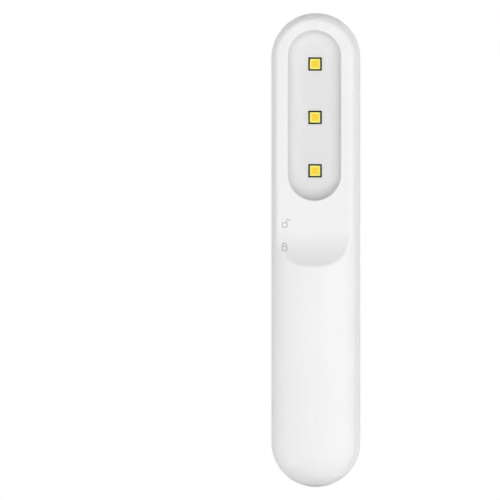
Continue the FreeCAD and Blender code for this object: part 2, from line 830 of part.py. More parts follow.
def make_main_board():
    """Board with a rounded foot, to fit the bottom end, and four screw holes."""
    body = new_body("main_board")
    plate = sketch_in(body, "XZ_Plane", "board_outline", out="-board_rear")
    half, bottom, top = "board_width / 2", "board_bottom_z", "board_top_z"
    draw_outline(plate, [(f"-({half})", bottom), (half, bottom), (half, top), (f"-({half})", top)])
    solid = pad(body, plate, "board_plate", "board_thickness")
    at_side = level("x", half)
    for name, end, radius in (("foot", bottom, "board_foot_round"), ("corner", top, "board_corner_round")):
        at_end = level("z", end)

        def at_corner(point):
            return at_end(point) and (at_side(point) or at_side(FreeCAD.Vector(-point.x, point.y, point.z)))

        solid = round_edges(body, solid, f"board_{name}_rounds", at_corner, radius)
    holes = sketch_in(body, "XZ_Plane", "screw_holes", out="-board_rear")
    for _, x, z in screw_places():
        draw_circle(holes, "screw_width / 2 + screw_hole_gap", right=x, up=z)
    pocket(body, holes, "screw_hole_cut", "board_thickness", backward=True)
    return body


def make_board_screws():
    """Four round-headed screws through the board into the bosses."""
    screws = []
    for name, x, z in screw_places():
        body = new_body(f"screw_{name}")
        shank = sketch_in(body, "XZ_Plane", f"shank_{name}", right=x, up=z, out="-board_rear")
        draw_circle(shank, "screw_width / 2")
        pad(body, shank, f"shank_bar_{name}", "screw_length")
        head = sketch_in(body, "XZ_Plane", f"head_{name}", right=x, up=z, out="-board_rear")
        draw_circle(head, "screw_head_width / 2")
        solid = pad(body, head, f"head_disc_{name}", "screw_head", backward=True)
        on_top = level("y", "board_rear + screw_head")
        round_edges(body, solid, f"head_round_{name}", on_top, "screw_head_round")
        screws.append(body)
    return join("board_screws", *screws)


def make_tact_switch():
    """Low square switch with a round well for its plunger."""
    half = "tact_side / 2"
    case = block(
        "tact_case",
        (f"-{half}", half),
        ("tact_top", "board_front"),
        (f"button_z - {half}", f"button_z + {half}"),
    )
    doc.recompute()
    eased = doc.addObject("Part::Chamfer", "tact_eased")
    eased.Base = case
    eased.Edges = edge_amounts(case.Shape, level("y", "tact_top"), "tact_edge")
    well = rod_y(
        "tact_well", "plunger_width / 2 + plunger_gap", "0", "button_z",
        "tact_top - overrun", "tact_top + plunger_root + plunger_room",
    )
    return cut("tact_switch", eased, well)


def make_tact_plunger():
    root = "tact_top + plunger_root"
    return rod_y("tact_plunger", "plunger_width / 2", "0", "button_z", "plunger_top", root)


def make_indicator_led():
    """Small surface lamp under the light pipe, with eased top edges."""
    body = new_body("indicator_led")
    base = sketch_in(body, "XZ_Plane", "lamp_base", up="lens_z", out="-board_front")
    draw_square(base, "lamp_width / 2", "lamp_length / 2")
    solid = pad(body, base, "lamp_block", "lamp_thickness")
    round_edges(body, solid, "lamp_rounds", level("y", "lamp_top"), "lamp_edge")
    return body


def make_lock_slider():
    """Knob with ridges in the side slot, on a plate inside the wall with a fork for the switch lever."""
    body = new_body("lock_slider_knob")
    plate = sketch_in(body, "YZ_Plane", "slider_plate", up="knob_z", out="plate_inside")
    draw_slot(plate, "plate_width / 2", "plate_length / 2 - plate_width / 2")
    pad(body, plate, "slider_plate_pad", "plate_thickness")
    knob = sketch_in(body, "YZ_Plane", "slider_knob", up="knob_z", out="plate_outside")
    draw_slot(knob, "knob_width / 2", "knob_length / 2 - knob_width / 2")
    pad(body, knob, "slider_knob_pad", "wall + plate_gap - knob_sink")
    pitch = f"knob_length / {RIDGES + 1}"
    lowest = f"knob_z - knob_length / 2 + {pitch}"
    groove = sketch_in(body, "YZ_Plane", "ridge_groove", up=lowest, out="body_width / 2 - knob_sink")
    draw_square(groove, "knob_width", "ridge_width / 2")
    first = pocket(body, groove, "first_groove", "ridge_depth")
    rows = body.newObject("PartDesign::LinearPattern", "grooves")
    rows.Originals = [first]
    rows.Direction = (groove, ["V_Axis"])
    rows.Occurrences = RIDGES
    bind(rows, Length=f"({pitch}) * {RIDGES - 1}")
    body.Tip = rows
    doc.recompute()
    prongs = sketch_in(body, "YZ_Plane", "fork_prongs", out="plate_inside")
    near, far = "lever_width / 2 + lever_gap", "lever_width / 2 + lever_gap + prong_thickness"
    for sign in ("", "-"):
        bottom, top = f"knob_z + {sign}({near})", f"knob_z + {sign}({far})"
        left, right = "lever_middle - prong_width / 2", "lever_middle + prong_width / 2"
        draw_outline(prongs, [(left, bottom), (right, bottom), (right, top), (left, top)])
    pad(body, prongs, "fork", "plate_inside - switch_side - prong_clearance", backward=True)
    return body


def make_slide_switch():
    """Switch case on the board's edge with a slot for its lever."""
    half = "switch_length / 2"
    case = block(
        "switch_case",
        ("switch_side - switch_depth", "switch_side"),
        ("board_rear", "board_rear + switch_rise"),
        (f"slider_z - {half}", f"slider_z + {half}"),
    )
    tall, long = "lever_rise / 2 + lever_gap", "(slider_travel + lever_width) / 2 + lever_gap"
    slot = block(
        "lever_slot",
        ("switch_side - lever_root - lever_gap", "switch_side + overrun"),
        (f"lever_middle - ({tall})", f"lever_middle + {tall}"),
        (f"slider_z - ({long})", f"slider_z + {long}"),
    )
    return cut("slide_switch", case, slot)


def make_switch_lever():
    return block(
        "slide_switch_lever",
        ("switch_side - lever_root", "plate_inside - lever_clearance"),
        ("lever_middle - lever_rise / 2", "lever_middle + lever_rise / 2"),
        ("knob_z - lever_width / 2", "knob_z + lever_width / 2"),
    )


def make_usb_shell():
    """Drawn metal shell of the charging inlet, open at its mouth and back."""
    body = new_body("usb_c_shell")
    outside = sketch_in(body, "XY_Plane", "usb_outside", up="usb_middle", out="usb_mouth_z")
    draw_slot(outside, "usb_rise / 2", "usb_width / 2 - usb_rise / 2", lying=True)
    pad(body, outside, "usb_tube", "usb_length")
    inside = sketch_in(body, "XY_Plane", "usb_inside", up="usb_middle", out="usb_mouth_z")
    draw_slot(inside, "usb_rise / 2 - usb_skin", "usb_width / 2 - usb_rise / 2", lying=True)
    pocket(body, inside, "usb_bore", "usb_length", backward=True)
    return body


def make_usb_tongue():
    """Insulator that closes the inlet's back and carries the contact tongue."""
    back_z = "usb_mouth_z + usb_length - usb_back"
    back = slot_rod(
        "usb_back_block", "XY_Plane", "usb_rise / 2 - usb_skin - usb_fit", "usb_width / 2 - usb_rise / 2",
        "0", "usb_middle", back_z, "usb_back", lying=True,
    )
    half, thin = "tongue_width / 2", "tongue_thickness / 2"
    tongue = block(
        "usb_tongue_plate",
        (f"-{half}", half),
        (f"usb_middle - {thin}", f"usb_middle + {thin}"),
        ("usb_mouth_z + tongue_sink", back_z),
    )
    return join("usb_c_tongue", back, tongue)


def make_chip(name, x, z, plane, rise_backward):
    """Chip with eased edges on one face of the main board."""
    body = new_body(name)
    base = sketch_in(body, "XZ_Plane", f"{name}_base", right=x, up=z, out=f"-({plane})")
    draw_square(base, "chip_width / 2", "chip_length / 2")
    solid = pad(body, base, f"{name}_block", "chip_thickness", backward=rise_backward)
    top = f"{plane} + chip_thickness" if rise_backward else f"{plane} - chip_thickness"
    edge = body.newObject("PartDesign::Chamfer", f"{name}_edges")
    edge.Base = (solid, edges_where(solid.Shape, level("y", top)))
    bind(edge, Size="chip_edge")
    doc.recompute()
    return body


def make_coil():
    """Shielded inductor with rounded corners."""
    body = new_body("boost_inductor")
    base = sketch_in(body, "XZ_Plane", "coil_base", right="coil_offset", up="coil_z", out="-board_rear")
    draw_square(base, "coil_side / 2", "coil_side / 2")
    solid = pad(body, base, "coil_block", "coil_thickness", backward=True)
    half, middle, centre = size("coil_side / 2"), size("coil_offset"), size("coil_z")

    def at_corner(point):
        sideways, along = abs(abs(point.x - middle) - half), abs(abs(point.z - centre) - half)
        return max(sideways, along) < Part.Precision.confusion()

    round_edges(body, solid, "coil_corners", at_corner, "coil_edge")
    return body


def make_header(name, offset, z):
    """Plug header on the board's rear face, with a mouth recessed in its rear."""
    body = new_body(name)
    base = sketch_in(body, "XZ_Plane", f"{name}_base", right=f"-{offset}", up=z, out="-board_rear")
    draw_square(base, "header_width / 2", "header_length / 2")
    pad(body, base, f"{name}_block", "header_rise", backward=True)
    top = "-(board_rear + header_rise)"
    mouth = sketch_in(body, "XZ_Plane", f"{name}_mouth", right=f"-{offset}", up=z, out=top)
    draw_square(mouth, "header_width / 2 - header_mouth", "header_length / 2 - header_mouth")
    pocket(body, mouth, f"{name}_well", "header_mouth", backward=True)
    return body


def make_cell():
    """Round rechargeable cell with eased shoulders and a raised positive nub."""
    body = new_body("battery_cell")
    can = sketch_in(body, "XY_Plane", "cell_can", up="cell_middle", out="cell_z")
    draw_circle(can, "cell_width / 2")
    solid = pad(body, can, "cell_tube", "cell_length")
    low, high = level("z", "cell_z"), level("z", "cell_top_z")
    round_edges(body, solid, "cell_shoulders", lambda point: low(point) or high(point), "cell_edge")
    nub = sketch_in(body, "XY_Plane", "cell_nub", up="cell_middle", out="cell_top_z")
    draw_circle(nub, "nub_width / 2")
    pad(body, nub, "cell_nub_disc", "nub_rise")
    return body


def make_battery_pad():
    """Foam strip between the board and the cell, hollowed to the cell's curve."""
    strip = block(
        "pad_strip",
        ("-pad_width / 2", "pad_width / 2"),
        ("board_rear", "cell_middle"),
        ("cell_z + pad_inset", "cell_top_z - pad_inset"),
    )
    room = doc.addObject("Part::Cylinder", "pad_room")
    bind(room, Radius="cell_width / 2 + pad_gap", Height="cell_length")
    place(room, "0", "cell_middle", "cell_z")
    return cut("battery_pad", strip, room)


def make_lead(name, route):
    """Insulated lead along straight runs joined by tangent arcs."""
    points = [FreeCAD.Vector(*(size(text) for text in point)) for point in route]
    bend = size("lead_bend")
    edges = []
    start = points[0]
    for before, corner, after in zip(points, points[1:], points[2:]):
        inward, outward = (before - corner).normalize(), (after - corner).normalize()
        half_angle = inward.getAngle(outward) / 2
        enter = corner + inward * (bend / math.tan(half_angle))
        leave = corner + outward * (bend / math.tan(half_angle))
        bisector = (inward + outward).normalize()
        crown = corner + bisector * (bend / math.sin(half_angle) - bend)
        edges.append(Part.LineSegment(start, enter).toShape())
        edges.append(Part.Arc(enter, crown, leave).toShape())
        start = leave
    edges.append(Part.LineSegment(start, points[-1]).toShape())
    path = Part.Wire(edges)
    section = Part.Wire(Part.Circle(points[0], points[1] - points[0], size("lead_width / 2")).toShape())
    lead = doc.addObject("Part::Feature", name)
    lead.Shape = path.makePipeShell([section], True, False)
    return lead


def make_battery_leads():
    """Red lead from the cell's nub and black lead from its foot, both to the battery header."""
    plug = "battery_header_z - header_length / 2"
    red, black = "-(battery_header_offset - pin_pitch / 2)", "-(battery_header_offset + pin_pitch / 2)"
    nub = "cell_top_z + nub_rise"
    turn = f"{nub} + lead_rise"
    foot = "cell_z - lead_sag"
    return [
        make_lead("battery_lead_red", [
            ("0", "cell_middle", nub),
            ("0", "cell_middle", turn),
            (red, "lead_run", turn),
            (red, "lead_run", plug),
        ]),
        make_lead("battery_lead_black", [
            (black, "cell_middle", "cell_z"),
            (black, "cell_middle", foot),
            (black, "lead_run", foot),
            (black, "lead_run", plug),
        ]),
    ]


def make_led_leads():
    """Leads from the tail of the LED board down to the LED header."""
    plug = "led_header_z + header_length / 2"
    start = "recess_z - recess_length / 2 - led_lead_start"
    turn = f"{plug} + led_lead_turn"
    rest = "led_board_rear + lead_width / 2 + lead_rest"
    leads = []
    for colour, sign in (("red", "+"), ("black", "-")):
        x = f"-led_header_offset {sign} pin_pitch / 2"
        leads.append(make_lead(f"led_lead_{colour}", [
            (x, rest, start),
            (x, rest, turn),
            (x, "lead_run", turn),
            (x, "lead_run", plug),
        ]))
    return leads


SUBPARTS = [
    make_front_shell(),
    make_rear_shell(),
    make_button_ring(),
    make_button_cap(),
    make_lens(),
    make_led_board(),
    *(make_led(name, step) for name, step in LED_NAMES.items()),
    *(make_emitter(name, step) for name, step in LED_NAMES.items()),
    make_main_board(),
    make_board_screws(),
    make_tact_switch(),
    make_tact_plunger(),
    make_indicator_led(),
    make_lock_slider(),
    make_slide_switch(),
    make_switch_lever(),
    make_usb_shell(),
    make_usb_tongue(),
    make_chip("charger_chip", "0", "charger_z", "board_front", False),
    make_chip("driver_chip", "-driver_offset", "driver_z", "board_rear", True),
    make_coil(),
    make_header("battery_connector", "battery_header_offset", "battery_header_z"),
    make_header("led_connector", "led_header_offset", "led_header_z"),
    make_cell(),
    make_battery_pad(),
    *make_battery_leads(),
    *make_led_leads(),
]
doc.recompute()

for thing in doc.Objects:
    if {"Invalid", "Error"} & set(thing.State):
        raise RuntimeError(f"{thing.Label} failed: {thing.State}")
for part in SUBPARTS:
    if part.Shape.isNull() or not part.Shape.isValid():
        raise RuntimeError(f"{part.Label} has no valid shape")

os.makedirs("parts", exist_ok=True)
for part in SUBPARTS:
    part.Shape.exportStep(f"parts/{part.Label}.step")
    print(part.Label, len(part.Shape.Solids), round(part.Shape.Volume, 2))
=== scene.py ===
"""Studio scene of a hand-held UV sterilizer wand, seen from its LED side."""
import bmesh
import bpy
import json
import math
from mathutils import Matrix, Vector
from mathutils.bvhtree import BVHTree


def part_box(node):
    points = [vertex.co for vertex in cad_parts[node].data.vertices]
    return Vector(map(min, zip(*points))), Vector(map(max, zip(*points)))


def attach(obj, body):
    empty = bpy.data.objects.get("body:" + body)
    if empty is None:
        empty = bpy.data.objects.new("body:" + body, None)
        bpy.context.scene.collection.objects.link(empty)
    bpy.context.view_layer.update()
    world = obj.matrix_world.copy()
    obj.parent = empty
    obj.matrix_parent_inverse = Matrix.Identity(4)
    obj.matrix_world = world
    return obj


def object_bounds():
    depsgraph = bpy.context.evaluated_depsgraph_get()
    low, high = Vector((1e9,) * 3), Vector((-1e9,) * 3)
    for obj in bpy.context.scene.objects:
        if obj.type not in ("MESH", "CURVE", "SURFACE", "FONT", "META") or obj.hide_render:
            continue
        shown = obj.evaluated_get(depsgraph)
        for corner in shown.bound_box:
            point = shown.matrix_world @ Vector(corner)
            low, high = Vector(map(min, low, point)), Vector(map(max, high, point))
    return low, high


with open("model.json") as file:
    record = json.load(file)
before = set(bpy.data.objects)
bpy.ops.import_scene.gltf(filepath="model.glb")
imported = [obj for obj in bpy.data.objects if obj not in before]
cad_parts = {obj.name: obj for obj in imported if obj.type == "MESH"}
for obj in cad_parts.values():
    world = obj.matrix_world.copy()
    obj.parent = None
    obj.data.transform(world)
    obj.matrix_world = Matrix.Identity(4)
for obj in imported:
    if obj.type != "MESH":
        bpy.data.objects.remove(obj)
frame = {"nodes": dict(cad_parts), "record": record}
CAD_LOW, CAD_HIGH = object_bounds()
CENTRE = (CAD_LOW + CAD_HIGH) / 2
MM = 0.001


# Node helpers

NOISE_DETAIL = 2.0
# Nearly all of a noise's values lie between these two
NOISE_LOW = 0.3
NOISE_HIGH = 0.7


class Graph:
    """Node tree with short ways to add, set and link nodes."""

    def __init__(self, tree):
        self.nodes = tree.nodes
        self.links = tree.links

    def feed(self, socket, value):
        """Link an input to another node's output, or set its value."""
        if isinstance(value, bpy.types.NodeSocket):
            self.links.new(value, socket)
        else:
            socket.default_value = value

    def add(self, kind, inputs=None, **settings):
        """New node with its own settings, and what goes into its inputs."""
        node = self.nodes.new(kind)
        for key, value in settings.items():
            setattr(node, key, value)
        for key, value in (inputs or {}).items():
            self.feed(node.inputs[key], value)
        return node

    def calc(self, operation, *values):
        """Result of one sum."""
        node = self.add("ShaderNodeMath", dict(enumerate(values)), operation=operation)
        return node.outputs["Value"]

    def noise(self, place, size):
        """Noise whose grains are about the given size in metres."""
        inputs = {"Vector": place, "Scale": 1.0 / size, "Detail": NOISE_DETAIL}
        return self.add("ShaderNodeTexNoise", inputs).outputs["Fac"]

    def spread(self, value, low, high, start=NOISE_LOW, end=NOISE_HIGH):
        """Map a value, such as a noise, to a range."""
        inputs = {"Value": value, "From Min": start, "From Max": end, "To Min": low, "To Max": high}
        return self.add("ShaderNodeMapRange", inputs).outputs["Result"]

    def ramp(self, value, stops):
        """Colour by a value, from stops that each have a position and a colour."""
        node = self.add("ShaderNodeValToRGB", {"Fac": value})
        elements = node.color_ramp.elements
        while len(elements) < len(stops):
            elements.new(1.0)
        for element, (position, colour) in zip(elements, stops):
            element.position = position
            element.color = (*colour, 1)
        return node.outputs["Color"]

    def finish(self, shader, grain, gloss, depth, strength):
        """Give a shader an uneven gloss, between two roughnesses, and a fine relief from one grain."""
        self.feed(shader.inputs["Roughness"], self.spread(grain, *gloss))
        bump = self.add("ShaderNodeBump", {"Height": grain, "Distance": depth, "Strength": strength})
        self.feed(shader.inputs["Normal"], bump.outputs["Normal"])

    def seen_as(self, lit, seen):
        """Shader that looks one way to the camera, while the light meets it another way."""
        rays = self.add("ShaderNodeLightPath")
        inputs = {"Fac": rays.outputs["Is Camera Ray"], 1: lit, 2: seen}
        return self.add("ShaderNodeMixShader", inputs).outputs["Shader"]


def new_material(name):
    """Node material with its shader and its graph."""
    material = bpy.data.materials.new(name)
    material.use_nodes = True
    return material, material.node_tree.nodes["Principled BSDF"], Graph(material.node_tree)


def shade(colour, factor):
    """A colour made darker by a factor."""
    return tuple(channel * factor for channel in colour)


def grey(level):
    """Neutral colour of a given level."""
    return (level, level, level)


# Materials

WHITE = grey(0.74)
SHELL_ROUGHNESS = 0.60
BUTTON_ROUGHNESS = 0.55
GLOSS_SWING = 0.06
GRAIN_STRENGTH = 0.5
LENS_STRENGTH = 0.3


def surface(
    name, colour, rough, grain, relief,
    cloud=8 * MM, contrast=0.03, metal=0.0, stretch=(1, 1, 1), specular=0.5,
):
    """Material with a cloudy tone, an uneven gloss and a fine grain in relief.

    Grain, relief and cloud are lengths: the size of a grain, its depth and the size of a cloud.
    """
    material, shader, graph = new_material(name)
    place = graph.add("ShaderNodeTexCoord").outputs["Object"]
    stretched = graph.add("ShaderNodeMapping", {"Vector": place, "Scale": stretch}).outputs["Vector"]
    stops = ((NOISE_LOW, shade(colour, 1 - contrast)), (NOISE_HIGH, colour))
    graph.feed(shader.inputs["Base Color"], graph.ramp(graph.noise(place, cloud), stops))
    shader.inputs["Metallic"].default_value = metal
    shader.inputs["Specular IOR Level"].default_value = specular
    gloss = (rough - GLOSS_SWING, rough + GLOSS_SWING)
    graph.finish(shader, graph.noise(stretched, grain), gloss, relief, GRAIN_STRENGTH)
    return material


def white_plastic(name, rough):
    """Moulded white plastic with a fine spark-eroded grain."""
    return surface(
        name, WHITE, rough, grain=0.16 * MM, relief=0.012 * MM, cloud=14 * MM, contrast=0.012, specular=0.25,
    )


# Tones of an LED's face, inside and at its rim, by the share of its width from the middle
FACE_TONES = ((0.40, (0.83, 0.73, 0.07)), (0.48, (0.87, 0.81, 0.28)))
FACE_UNEVEN = 0.03
FACE_SPECULAR = 0.12
FACE_GLOSS = (0.4, 0.55)
FACE_GRAIN = 0.12 * MM
FACE_RELIEF = 0.01 * MM


def led_face():
    """Yellow emitting face: pale at its rim and warmer inside."""
    material, shader, graph = new_material("led_face_yellow")
    place = graph.add("ShaderNodeTexCoord").outputs
    split = graph.add("ShaderNodeSeparateXYZ", {"Vector": place["Generated"]}).outputs
    away = [graph.calc("ABSOLUTE", graph.calc("SUBTRACT", split[axis], 0.5)) for axis in ("X", "Z")]
    grain = graph.noise(place["Object"], FACE_GRAIN)
    toward_rim = graph.calc("MULTIPLY_ADD", grain, FACE_UNEVEN, graph.calc("MAXIMUM", *away))
    graph.feed(shader.inputs["Base Color"], graph.ramp(toward_rim, FACE_TONES))
    shader.inputs["Specular IOR Level"].default_value = FACE_SPECULAR
    graph.finish(shader, grain, FACE_GLOSS, FACE_RELIEF, LENS_STRENGTH)
    return material


# Tones of the light pipe by the share of the way from its rim to its middle; the green-yellow middle is a
# painted glow
PIPE_PAINTED_GLOW = ((0.05, WHITE), (0.75, (0.73, 0.78, 0.58)))
PIPE_SPECULAR = 0.25
PIPE_GLOSS = (0.3, 0.4)
PIPE_GRAIN = 0.2 * MM
PIPE_RELIEF = 0.003 * MM


def light_pipe():
    """Clear light pipe: plain at its rim, with a faint green-yellow glow painted into its colour in its
    middle.
    """
    material, shader, graph = new_material("clear_light_pipe")
    place = graph.add("ShaderNodeTexCoord").outputs
    about_middle = {"Vector": place["Generated"], "Scale": (2, 0, 2), "Location": (-1, 0, -1)}
    centred = graph.add("ShaderNodeMapping", about_middle).outputs["Vector"]
    core = graph.add("ShaderNodeTexGradient", {"Vector": centred}, gradient_type="SPHERICAL")
    # Painted glow: the pipe's middle is tinted green-yellow in its colour, with no light coming from it
    graph.feed(shader.inputs["Base Color"], graph.ramp(core.outputs["Fac"], PIPE_PAINTED_GLOW))
    shader.inputs["Specular IOR Level"].default_value = PIPE_SPECULAR
    grain = graph.noise(place["Object"], PIPE_GRAIN)
    graph.finish(shader, grain, PIPE_GLOSS, PIPE_RELIEF, LENS_STRENGTH)
    return material


LOOKS = {
    "white_shell": white_plastic("satin_white_shell", SHELL_ROUGHNESS),
    "white_button": white_plastic("satin_white_button", BUTTON_ROUGHNESS),
    "grey_trim": surface(
        "grey_ring_trim", (0.53, 0.53, 0.54), rough=0.5, grain=0.2 * MM, relief=0.006 * MM,
        cloud=5 * MM, specular=0.15,
    ),
    "clear_pipe": light_pipe(),
    "white_board": surface(
        "white_solder_mask", (0.78, 0.79, 0.78), rough=0.35, grain=0.25 * MM, relief=0.006 * MM,
    ),
    "led_package": surface(
        "dark_led_package", (0.016, 0.013, 0.003), rough=0.60, grain=0.1 * MM, relief=0.006 * MM,
        cloud=1 * MM, specular=0.06,
    ),
    "led_face": led_face(),
    "green_board": surface(
        "green_solder_mask", (0.02, 0.13, 0.05), rough=0.30, grain=0.3 * MM, relief=0.01 * MM, contrast=0.2,
    ),
    "steel": surface(
        "plated_steel", (0.62, 0.61, 0.59), rough=0.28, grain=0.08 * MM, relief=0.004 * MM,
        metal=1.0, stretch=(1, 1, 0.1),
    ),
    "black_plastic": surface(
        "black_moulding", (0.015, 0.015, 0.016), rough=0.45, grain=0.12 * MM, relief=0.008 * MM, contrast=0.2,
    ),
    "lamp_white": surface(
        "ivory_moulding", (0.72, 0.71, 0.64), rough=0.35, grain=0.15 * MM, relief=0.006 * MM,
    ),
    "cell_can": surface(
        "blue_cell_wrap", (0.02, 0.09, 0.28), rough=0.25, grain=0.5 * MM, relief=0.01 * MM, contrast=0.15,
    ),
    "foam": surface(
        "black_foam", grey(0.02), rough=0.9, grain=0.35 * MM, relief=0.12 * MM, contrast=0.4,
    ),
    "red_lead": surface(
        "red_insulation", (0.42, 0.012, 0.01), rough=0.4, grain=0.3 * MM, relief=0.01 * MM, contrast=0.12,
    ),
    "black_lead": surface(
        "black_insulation", grey(0.012), rough=0.4, grain=0.3 * MM, relief=0.01 * MM, contrast=0.2,
    ),
}
SIGN_GREY = surface(
    "grey_print", (0.44, 0.44, 0.45), rough=0.5, grain=0.1 * MM, relief=0.004 * MM,
    cloud=1 * MM, contrast=0.08,
)
DIE_AMBER = surface(
    "amber_die", (0.89, 0.62, 0.05), rough=0.5, grain=0.1 * MM, relief=0.004 * MM,
    cloud=0.8 * MM, contrast=0.1, specular=0.12,
)
CONTACT_GOLD = surface(
    "gold_contact", (0.83, 0.58, 0.22), rough=0.25, grain=0.06 * MM, relief=0.003 * MM, metal=1.0,
)

# The LED dish in the rear shell, a slot with round ends
DISH_HALF_WIDTH = 8.95 * MM
DISH_LENGTH = 57.3 * MM
DISH_MARGIN = 6.05 * MM
# Painted shade, as tones by the distance from the dish's middle line: its floor, its wall, its rim and the
# head; darker on the floor and darkest at the wall, where the recess is shaded
DISH_SHADE_TONES = ((7.2 * MM, 0.92), (8.5 * MM, 0.84), (8.9 * MM, 0.84), (9.15 * MM, 1.0))


def paint_dish_shade(material):
    """Paint shade into the LED dish of the rear shell: its colour a little darker than the rest of the shell,
    most at its wall, where the recess is shaded.
    """
    graph = Graph(material.node_tree)
    shader = material.node_tree.nodes["Principled BSDF"]
    tone = shader.inputs["Base Color"].links[0].from_socket
    place = graph.add("ShaderNodeTexCoord").outputs["Object"]
    split = graph.add("ShaderNodeSeparateXYZ", {"Vector": place}).outputs
    middle = CAD_HIGH.z - DISH_MARGIN - DISH_LENGTH / 2
    reach = DISH_LENGTH / 2 - DISH_HALF_WIDTH
    along = graph.calc("ABSOLUTE", graph.calc("SUBTRACT", split["Z"], middle))
    beyond = graph.calc("MAXIMUM", graph.calc("SUBTRACT", along, reach), 0.0)
    across = graph.calc("ABSOLUTE", split["X"])
    squares = graph.calc("ADD", graph.calc("POWER", beyond, 2.0), graph.calc("POWER", across, 2.0))
    farthest = DISH_SHADE_TONES[-1][0]
    share = graph.calc("DIVIDE", graph.calc("SQRT", squares), farthest)
    # The ramp darkens the colour as painted shade of the recess, by the distance from the dish's middle line
    painted_shade = graph.ramp(share, [(distance / farthest, grey(level)) for distance, level in DISH_SHADE_TONES])
    shaded_colour = graph.add("ShaderNodeVectorMath", {0: tone, 1: painted_shade}, operation="MULTIPLY")
    graph.feed(shader.inputs["Base Color"], shaded_colour.outputs["Vector"])
    return material


def dress(node, material):
    """Give a CAD node its material."""
    mesh = frame["nodes"][node].data
    mesh.materials.clear()
    mesh.materials.append(material)


for entry in frame["record"]["subparts"]:
    dress(entry["node"], LOOKS[entry["material_slot"]])
# The rear shell's white carries painted shade in its LED dish
dress("rear_shell", paint_dish_shade(white_plastic("satin_white_rear", SHELL_ROUGHNESS)))


# Helpers for new pieces

def add_object(name, data):
    """New object in the scene."""
    made = bpy.data.objects.new(name, data)
    bpy.context.scene.collection.objects.link(made)
    return made


def add_mesh(name, form, material):
    """Turn a bmesh into an object with one material."""
    mesh = bpy.data.meshes.new(name)
    form.to_mesh(mesh)
    form.free()
    mesh.materials.append(material)
    return add_object(name, mesh)


def add_piece(name, form, material, body):
    """Turn a bmesh into a piece that rides on a body."""
    bmesh.ops.recalc_face_normals(form, faces=form.faces)
    piece = add_mesh(name, form, material)
    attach(piece, body)


def bevelled_block(form, low, high, bevel):
    """Add a box with eased edges between two corners."""
    made = bmesh.ops.create_cube(form, size=1.0)["verts"]
    middle, extent = (low + high) / 2, high - low
    for vert in made:
        vert.co = middle + Vector(part * length for part, length in zip(vert.co, extent))
    edges = {edge for vert in made for edge in vert.link_edges}
    bmesh.ops.bevel(form, geom=list(edges), offset=bevel, segments=2, affect="EDGES", profile=0.5)


def arc(centre, radius, start, end, steps):
    """Points along an arc, its angles in degrees."""
    angles = [math.radians(start + (end - start) * step / steps) for step in range(steps + 1)]
    return [(centre[0] + radius * math.cos(angle), centre[1] + radius * math.sin(angle)) for angle in angles]


def box_outline(half_width, low, high, corner, steps):
    """Rounded rectangle as a closed line, with that many steps round each corner."""
    line = []
    for x, y, start in ((1, 1, 0), (-1, 1, 90), (-1, -1, 180), (1, -1, 270)):
        middle = (x * (half_width - corner), (high if y > 0 else low) - y * corner)
        line += arc(middle, corner, start, start + 90, steps)
    return line


def walk(points, step):
    """The same line with points no further apart than a step."""
    dense = [points[0]]
    for before, after in zip(points, points[1:]):
        count = max(1, math.ceil(math.dist(before, after) / step))
        for index in range(1, count + 1):
            share = index / count
            dense.append(tuple(a + (b - a) * share for a, b in zip(before, after)))
    return dense


def stroke_sides(points, width, closed):
    """Points on both sides of a line, half a width away."""
    sides = []
    last = len(points) - 1
    for index, point in enumerate(points):
        before = points[(index - 1) % len(points)] if closed else points[max(index - 1, 0)]
        after = points[(index + 1) % len(points)] if closed else points[min(index + 1, last)]
        along = Vector((after[0] - before[0], after[1] - before[1])).normalized()
        across = Vector((-along.y, along.x)) * width / 2
        sides.append((Vector(point) + across, Vector(point) - across))
    return sides


# Printed signs

SIGN_STEP = 0.2 * MM
SIGN_RELIEF = 0.02 * MM
SIGN_ROOT = 0.04 * MM
# Rays toward a face start outside the wand
RAY_START = 3 * CAD_HIGH.y


def print_sign(name, strokes, width, carrier, centre, facing, body):
    """Lay strokes on a carrier's surface as thin raised print.

    The strokes are drawn as a viewer who looks at that face sees them, about the sign's centre.
    """
    carrier_mesh = frame["nodes"][carrier].data
    corners = [vert.co for vert in carrier_mesh.vertices]
    tree = BVHTree.FromPolygons(corners, [tuple(face.vertices) for face in carrier_mesh.polygons])

    def drop(spot, lift):
        start = Vector((centre[0] - facing * spot.x, facing * RAY_START, centre[1] + spot.y))
        hit = tree.ray_cast(start, Vector((0, -facing, 0)))[0]
        return hit + Vector((0, facing * lift, 0))

    form = bmesh.new()
    for points, closed in strokes:
        line = walk(points + points[:1], SIGN_STEP)[:-1] if closed else walk(points, SIGN_STEP)
        rings = []
        for left, right in stroke_sides(line, width, closed):
            spots = ((left, SIGN_RELIEF), (right, SIGN_RELIEF), (right, -SIGN_ROOT), (left, -SIGN_ROOT))
            rings.append([form.verts.new(drop(spot, lift)) for spot, lift in spots])
        pairs = list(zip(rings, rings[1:]))
        if closed:
            pairs.append((rings[-1], rings[0]))
        else:
            form.faces.new(rings[0])
            form.faces.new(rings[-1])
        for first, second in pairs:
            for corner in range(4):
                following = (corner + 1) % 4
                form.faces.new((first[corner], first[following], second[following], second[corner]))
    add_piece(name, form, SIGN_GREY, body)


POWER_RADIUS = 2.4 * MM
POWER_BAR_HALF = 1.45 * MM
POWER_STROKE = 0.6 * MM
POWER_STEPS = 48


def power_sign():
    """Ring with an upright bar in it, on the button."""
    low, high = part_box("power_button_cap")
    button_z = (low.z + high.z) / 2
    last_step = POWER_STEPS - 1
    ring = arc((0, 0), POWER_RADIUS, 0, 360 * last_step / POWER_STEPS, last_step)
    bar = [(0, -POWER_BAR_HALF), (0, POWER_BAR_HALF)]
    print_sign(
        "power_sign", [(ring, True), (bar, False)],
        POWER_STROKE, "power_button_cap", (0, button_z), -1, "power_button",
    )


